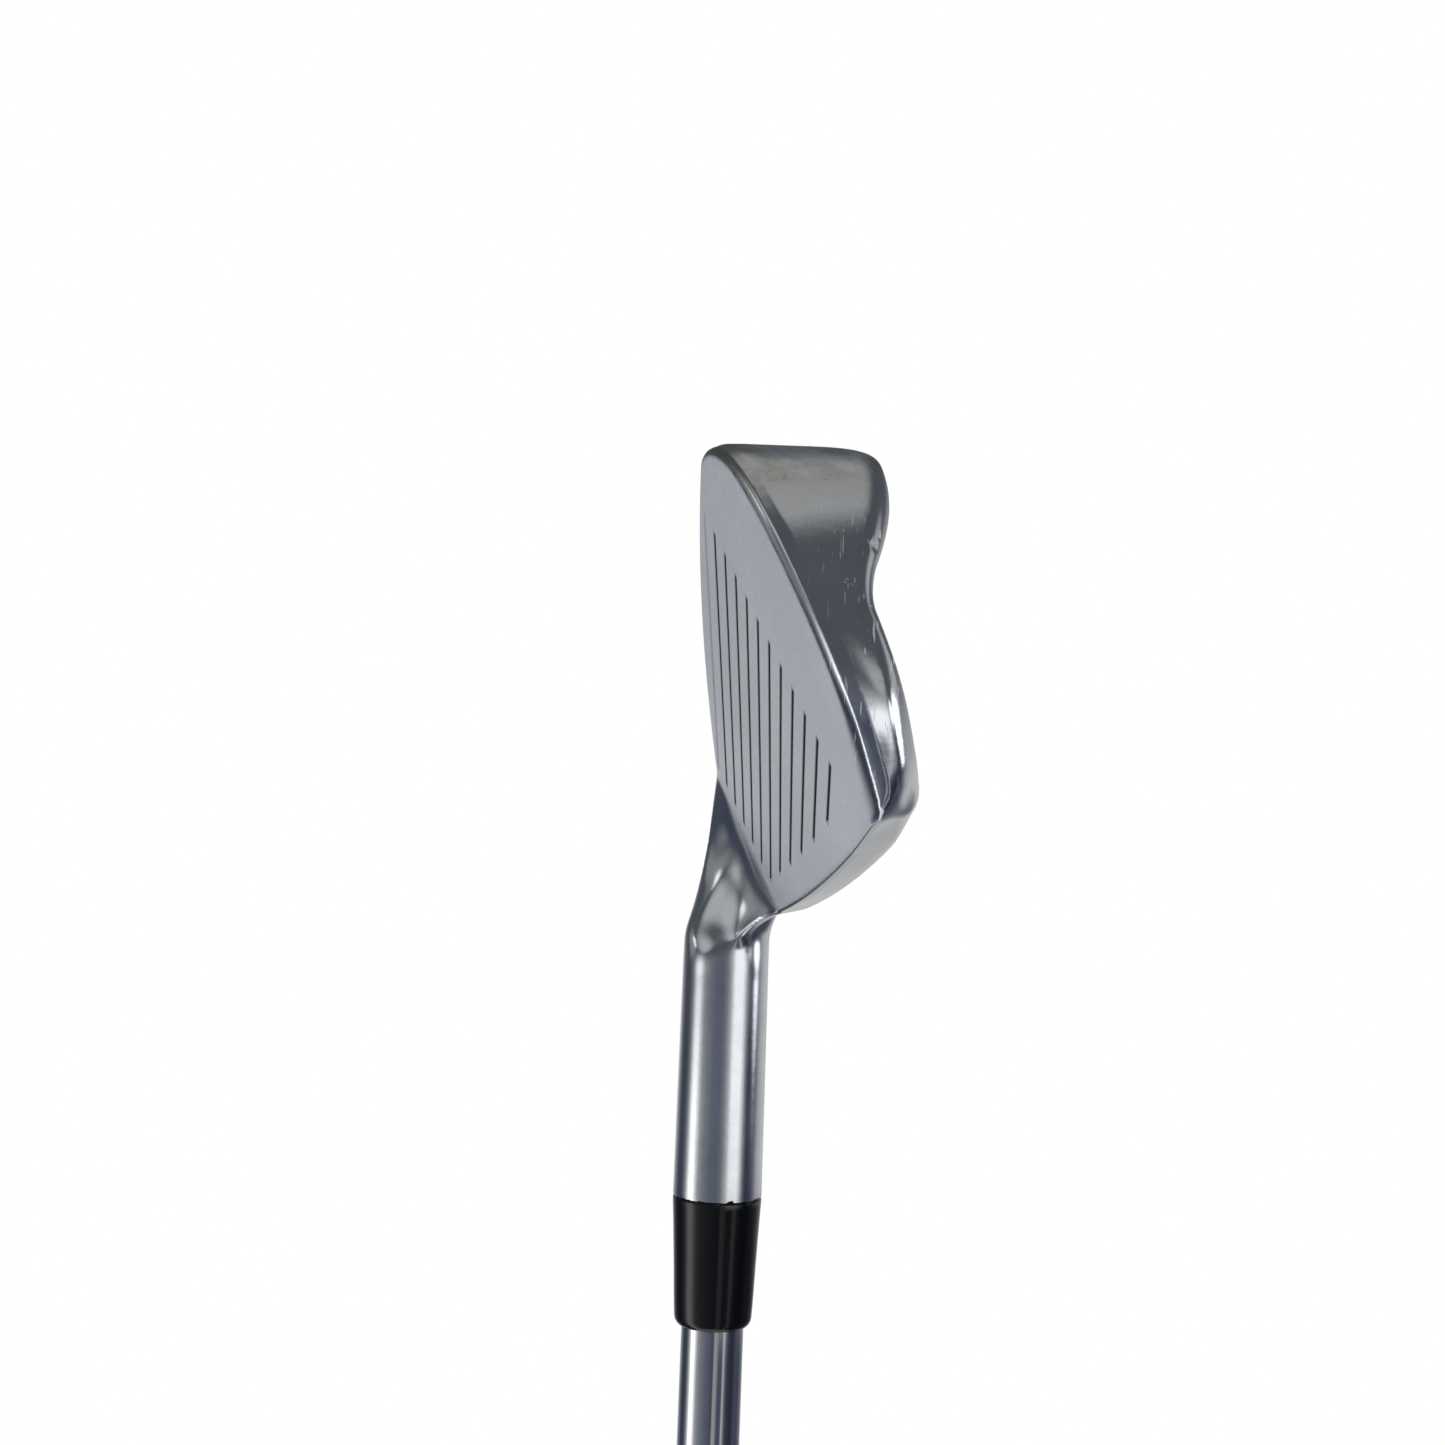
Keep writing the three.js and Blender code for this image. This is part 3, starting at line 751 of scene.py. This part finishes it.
TIP_RADIUS = 4.7
BUTT_RADIUS = 7.62
STEP_COUNT = 12
STEP_SPACING = 44.45
FIRST_STEP = 173.0


def shaft_profile():
    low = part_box("shaft")[0].z / MM
    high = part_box("shaft")[1].z / MM
    outer = [(BUTT_RADIUS - 0.15, low), (BUTT_RADIUS, low + 0.2)]
    radius = BUTT_RADIUS
    for i in range(STEP_COUNT):
        z = FIRST_STEP + i * STEP_SPACING
        smaller = BUTT_RADIUS + (TIP_RADIUS - BUTT_RADIUS) * (i + 1) / STEP_COUNT
        outer += [(radius, z - 1.2), (radius, z), (radius * 0.7 + smaller * 0.3, z + 0.25),
                  (radius * 0.3 + smaller * 0.7, z + 0.75), (smaller, z + 1.2),
                  (smaller, z + 2.4)]
        radius = smaller
    outer += [(TIP_RADIUS, high - 0.2), (TIP_RADIUS - 0.15, high)]
    inner = [(TIP_RADIUS - 0.75, high), (TIP_RADIUS - 0.75, 705), (BUTT_RADIUS - 0.65, 172),
             (BUTT_RADIUS - 0.65, low)]
    return refine(outer, 12) + refine(inner, 60)


GRIP_OUTSIDE = [(13.1, 5.9), (13.3, 9.9), (12.7, 26), (11.8, 70), (10.8, 127), (9.6, 245),
                (9.1, 264), (8.6, 266.2), (8.0, 267)]


def grip_groove(radius, turn, height):
    """Moulded chevrons and a plain lengthwise band on the grip's outside."""
    outside = radius > 8.55
    across = np.abs(((turn / (2 * math.pi) * 6) % 1) - 0.5) * 2
    wave = (height / 5.2 + across * 0.9) % 1
    line = smoothstep(-np.abs(wave - 0.5), -0.19, -0.09)
    bands = smoothstep(across, 0.06, 0.14)
    ends = smoothstep(height, 22, 24) * smoothstep(-height, -252, -250)
    return -0.42 * line * bands * ends * outside


def rubber_material():
    mat, tree, shader = material("grip_rubber")
    coords = object_coords(tree)
    fine = noise(tree, coords, 1800, 4, 0.7)
    broad = noise(tree, coords, 45, 4, 0.6)
    colour = mix_colour(tree, remap(tree, broad, 0.35, 0.65, 0, 1),
                        (0.014, 0.014, 0.015, 1), (0.032, 0.032, 0.034, 1))
    tree.links.new(colour, shader.inputs["Base Color"])
    tree.links.new(remap(tree, fine, 0.3, 0.7, 0.62, 0.85), shader.inputs["Roughness"])
    bump(tree, shader, fine, 0.35, 0.0002)
    return mat


BAND_BORE = 6.7


def rounded_band(low, high, inner, outer):
    """Profile of a thin sleeve with eased edges."""
    ease = min(0.15, (outer - inner) * 0.5)
    return ([(inner, low), (outer - ease, low), (outer, low + ease)]
            + refine([(outer, low + ease), (outer, high - ease)], 2.0)[1:]
            + [(outer - ease, high), (inner, high)])


def label_material():
    mat, tree, shader = material("brushed_band")
    coords = object_coords(tree)
    brushed = noise(tree, object_coords(tree, (1, 1, 30)), 300, 3, 0.6)
    split = node(tree, "ShaderNodeSeparateXYZ")
    tree.links.new(coords, split.inputs["Vector"])
    low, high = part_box("shaft_label")
    middle = (low.z + high.z) / 2
    away = math_node(tree, "ABSOLUTE", math_node(tree, "SUBTRACT", split.outputs["Z"], middle))
    edge = remap(tree, away, 0.0128, 0.0132, 0, 1)
    base = mix_colour(tree, remap(tree, brushed, 0.3, 0.7, 0, 1), (0.50, 0.51, 0.53, 1),
                      (0.62, 0.63, 0.65, 1))
    colour = mix_colour(tree, edge, base, (0.02, 0.022, 0.03, 1))
    tree.links.new(colour, shader.inputs["Base Color"])
    shader.inputs["Metallic"].default_value = 0.8
    tree.links.new(remap(tree, brushed, 0.3, 0.7, 0.3, 0.45), shader.inputs["Roughness"])
    bump(tree, shader, brushed, 0.1, 0.00005)
    return mat


def metal_material(name, dark, light, rough):
    mat, tree, shader = material(name)
    coords = object_coords(tree)
    grain = noise(tree, coords, 700, 4, 0.6)
    colour = mix_colour(tree, remap(tree, grain, 0.3, 0.7, 0, 1), dark, light)
    tree.links.new(colour, shader.inputs["Base Color"])
    shader.inputs["Metallic"].default_value = 1.0
    tree.links.new(remap(tree, grain, 0.3, 0.7, rough - 0.05, rough + 0.1),
                   shader.inputs["Roughness"])
    bump(tree, shader, grain, 0.2, 0.0001)
    return mat


def tape_material():
    mat, tree, shader = material("woven_tape")
    weave = node(tree, "ShaderNodeTexWave", wave_type="BANDS", bands_direction="Z")
    weave.inputs["Scale"].default_value = 400
    weave.inputs["Distortion"].default_value = 2.0
    tree.links.new(object_coords(tree), weave.inputs["Vector"])
    colour = mix_colour(tree, weave.outputs["Fac"], (0.55, 0.50, 0.40, 1), (0.70, 0.66, 0.56, 1))
    tree.links.new(colour, shader.inputs["Base Color"])
    shader.inputs["Roughness"].default_value = 0.85
    bump(tree, shader, weave.outputs["Fac"], 0.3, 0.0001)
    return mat


def grip_profile():
    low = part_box("grip_sleeve")[0].z / MM
    outside = refine(GRIP_OUTSIDE, 0.65)
    return outside + refine([(7.98, GRIP_OUTSIDE[-1][1]), (7.98, low)], 20)


def cap_profile():
    face = [(2.2, 0.0), (2.5, 0.0), (6.0, 0.0), (6.3, 0.35), (6.9, 0.35), (7.2, 0.0), (9.4, 0.0),
            (9.7, 0.3), (10.2, 0.3), (10.5, 0.0), (11.4, 0.05), (12.5, 0.5), (13.0, 1.05),
            (13.25, 1.6), (13.38, 2.3), (13.4, 3), (13.32, 4.4), (13.15, 5.55), (13.0, 5.6),
            (2.2, 5.6)]
    return face


def shade_cad_node(name, mat):
    """A carried-over CAD node keeps its mesh and gets this material in every slot."""
    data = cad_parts[name].data
    if not data.materials:
        data.materials.append(mat)
    for i in range(len(data.materials)):
        data.materials[i] = mat


# The camera's place from the hosel's rim, its aim and its upward direction.
CAMERA_OFFSET = (-0.011894, 0.240920, 0.046855)
CAMERA_AIM = (0.05692, -0.99284, 0.10501)
CAMERA_UP = (0.03180, 0.10692, 0.99376)
CAMERA_LENS = 38.4
CAMERA_SENSOR = 36


def build_camera():
    scene = bpy.context.scene
    data = bpy.data.cameras.new("camera")
    data.lens = CAMERA_LENS
    data.sensor_width = CAMERA_SENSOR
    data.clip_start = 0.02
    data.clip_end = 200
    camera = bpy.data.objects.new("camera", data)
    scene.collection.objects.link(camera)
    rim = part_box("club_head")[0].z
    position = Vector((CAMERA_OFFSET[0], CAMERA_OFFSET[1], rim + CAMERA_OFFSET[2]))
    forward = Vector(CAMERA_AIM).normalized()
    up = Vector(CAMERA_UP)
    right = forward.cross(up).normalized()
    up = right.cross(forward)
    turn = Matrix((right, up, -forward)).transposed()
    camera.matrix_world = Matrix.Translation(position) @ turn.to_4x4()
    scene.camera = camera
    scene.view_settings.view_transform = "Standard"


def area_light(name, position, target, size, power):
    """A rectangular light that brightens surfaces and does not show in reflections."""
    data = bpy.data.lights.new(name, "AREA")
    data.shape = "RECTANGLE"
    data.size, data.size_y = size
    data.energy = power
    light = bpy.data.objects.new(name, data)
    bpy.context.scene.collection.objects.link(light)
    light.location = position
    light.visible_glossy = False
    direction = (Vector(target) - Vector(position)).normalized()
    light.rotation_euler = direction.to_track_quat("-Z", "Y").to_euler()


# Light round the object, as (direction about the shaft in degrees, light): near the
# horizon, and below it.
LEVEL_BANDS = [(-180, 0.52), (-144, 0.58), (-120, 0.45), (-104, 0.14), (-92, 0.05), (-76, 0.05),
               (-67, 0.22), (-60, 0.7), (-52, 1.2), (-31, 1.2), (-22, 0.5), (-12, 0.23),
               (0, 0.14), (20, 0.15), (38, 0.22), (51, 0.36), (60, 0.9), (66, 1.6), (77, 1.6),
               (84, 0.75), (92, 0.24), (104, 0.07), (122, 0.07), (140, 0.26), (156, 0.62),
               (180, 0.66)]
LOW_BANDS = [(-180, 0.44), (-165, 0.44), (-150, 0.2), (-124, 0.07), (-104, 0.08), (-88, 0.03),
             (-66, 0.05), (-56, 0.14), (-52, 0.4), (-47, 0.4), (-43, 0.1), (-30, 0.08),
             (-22, 0.3), (-14, 0.34), (-10, 0.08), (20, 0.15), (38, 0.22), (51, 0.36),
             (60, 0.9), (66, 1.6), (77, 1.6), (84, 0.6), (92, 0.2), (104, 0.06), (122, 0.06),
             (140, 0.2), (156, 0.5), (180, 0.44)]
# Panels: direction about the shaft and above the horizon, full and outer radius, in
# degrees, and light.
SOFT_PANELS = [(102, 14, 6, 16, 0.27), (66, 30, 8, 20, 0.5), (93, 20, 2, 6, 1.3),
               (-72, 9, 4, 10, 1.8), (-95, 9, 8, 16, 2.6), (-108, 29, 5, 15, 0.45),
               (-50, 30, 5, 14, 0.42)]


def band_ramp(tree, turn, bands):
    """Light from all round the object, by direction about the shaft in degrees."""
    ramp = node(tree, "ShaderNodeValToRGB")
    tree.links.new(turn, ramp.inputs["Fac"])
    stops = ramp.color_ramp.elements
    while len(stops) > 1:
        stops.remove(stops[-1])
    for i, (angle, value) in enumerate(bands):
        place = (angle + 180) / 360
        stop = stops[0] if i == 0 else stops.new(place)
        stop.position = place
        cold = float(1 - smoothstep(value, 0.04, 0.3))
        stop.color = (value * (1 - 0.22 * cold), value * (1 - 0.1 * cold),
                      value * (1 + 0.35 * cold), 1)
    return ramp.outputs["Color"]


def soft_panel(tree, direction, light, turn, rise, full, outer, value):
    """Adds a round soft-edged light seen in one direction."""
    turn, rise = math.radians(turn), math.radians(rise)
    aim = node(tree, "ShaderNodeVectorMath", operation="DOT_PRODUCT")
    aim.inputs[1].default_value = (math.sin(turn) * math.cos(rise),
                                   math.cos(turn) * math.cos(rise), math.sin(rise))
    tree.links.new(direction, aim.inputs[0])
    shape = remap(tree, aim.outputs["Value"], math.cos(math.radians(outer)),
                  math.cos(math.radians(full)), 0, 1)
    return mix_colour(tree, shape, light, (value, value, value * 1.02, 1))


def build_world():
    world = bpy.data.worlds.new("studio")
    bpy.context.scene.world = world
    world.use_nodes = True
    tree = world.node_tree
    link = tree.links.new
    background = tree.nodes["Background"]
    coords = node(tree, "ShaderNodeTexCoord")
    split = node(tree, "ShaderNodeSeparateXYZ")
    link(coords.outputs["Generated"], split.inputs["Vector"])
    turn = math_node(tree, "ARCTAN2", split.outputs["X"], split.outputs["Y"])
    turn = remap(tree, turn, -math.pi, math.pi, 0, 1)
    low = remap(tree, split.outputs["Z"], -0.17, -0.28, 0, 1)
    ring = mix_colour(tree, low, band_ramp(tree, turn, LEVEL_BANDS),
                      band_ramp(tree, turn, LOW_BANDS))
    left = math_node(tree, "MAXIMUM", split.outputs["X"], 0.0)
    height = math_node(tree, "MULTIPLY_ADD", left, 0.25, split.outputs["Z"])
    above = remap(tree, height, 0.05, 0.5, 1, 0)
    above = math_node(tree, "POWER", above, 1.5)
    behind = math_node(tree, "MULTIPLY_ADD", split.outputs["Y"], -0.12, split.outputs["Z"])
    zenith = remap(tree, behind, 0.88, 0.94, 0, 1)
    ceiling = mix_colour(tree, zenith, (0.085, 0.095, 0.105, 1), (0.42, 0.425, 0.42, 1))
    light = mix_colour(tree, above, ceiling, ring)
    for panel in SOFT_PANELS:
        light = soft_panel(tree, coords.outputs["Generated"], light, *panel)
    path = node(tree, "ShaderNodeLightPath")
    seen = mix_colour(tree, path.outputs["Is Camera Ray"], light, (1, 1, 1, 1))
    link(seen, background.inputs["Color"])
    background.inputs["Strength"].default_value = 1.0


FLOOR_RADIUS = 0.45
FLOOR_SIDES = 96


def build_floor():
    step = 2 * math.pi / FLOOR_SIDES
    rim = [(FLOOR_RADIUS * math.cos(a * step), FLOOR_RADIUS * math.sin(a * step), 0)
           for a in range(FLOOR_SIDES)]
    floor = mesh_object("studio_floor", rim, [tuple(range(FLOOR_SIDES))])
    mat, tree, shader = material("pale_floor")
    coords = object_coords(tree)
    shade = mix_colour(tree, noise(tree, coords, 3, 2, 0.5), (0.93, 0.93, 0.93, 1),
                       (0.96, 0.96, 0.96, 1))
    tree.links.new(shade, shader.inputs["Base Color"])
    shader.inputs["Roughness"].default_value = 0.9
    shader.inputs["Emission Color"].default_value = (1, 1, 1, 1)
    shader.inputs["Emission Strength"].default_value = 0.35
    floor.data.materials.append(mat)


def finish_piece(piece, cad_node, mat):
    """Gives a piece its material, hangs it from the root body and hides the CAD node it stands in
    for.
    """
    piece.data.materials.append(mat)
    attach(piece, "root")
    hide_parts(cad_node)


build_camera()
build_world()
build_floor()
head_centre = (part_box("club_head")[0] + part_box("club_head")[1]) / 2
area_light("key", head_centre + Vector((-0.8, 1.0, 0.6)), head_centre, (0.5, 0.5), 6)
area_light("side", head_centre + Vector((1.2, 0.5, 0.0)), head_centre, (0.5, 1.2), 9)

finish_piece(build_head(), "club_head", head_material())
collar = lathe("ferrule_collar", ferrule_profile(), 128)
finish_piece(collar, "ferrule", plastic_material("gloss_black", (0.003, 0.003, 0.0035, 1), 0.1))
shaft = lathe("stepped_shaft", shaft_profile(), 128)
finish_piece(shaft, "shaft", shaft_chrome())

label_low, label_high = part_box("shaft_label")
band_profile = rounded_band(label_low.z / MM, label_high.z / MM, BAND_BORE, label_high.x / MM)
band = lathe("shaft_band", band_profile, 96)
finish_piece(band, "shaft_label", label_material())
grip = lathe("rubber_grip", grip_profile(), 120, 60.0, grip_groove)
finish_piece(grip, "grip_sleeve", rubber_material())
cap = lathe("butt_cap", cap_profile(), 96, 40.0)
finish_piece(cap, "grip_cap", plastic_material("cap_rubber", (0.02, 0.02, 0.021, 1), 0.55))
shade_cad_node("hosel_epoxy", plastic_material("cured_epoxy", (0.35, 0.27, 0.14, 1), 0.35))
shade_cad_node("tip_weight", metal_material("cast_brass", (0.55, 0.38, 0.16, 1),
                                            (0.72, 0.52, 0.24, 1), 0.35))
shade_cad_node("grip_tape", tape_material())
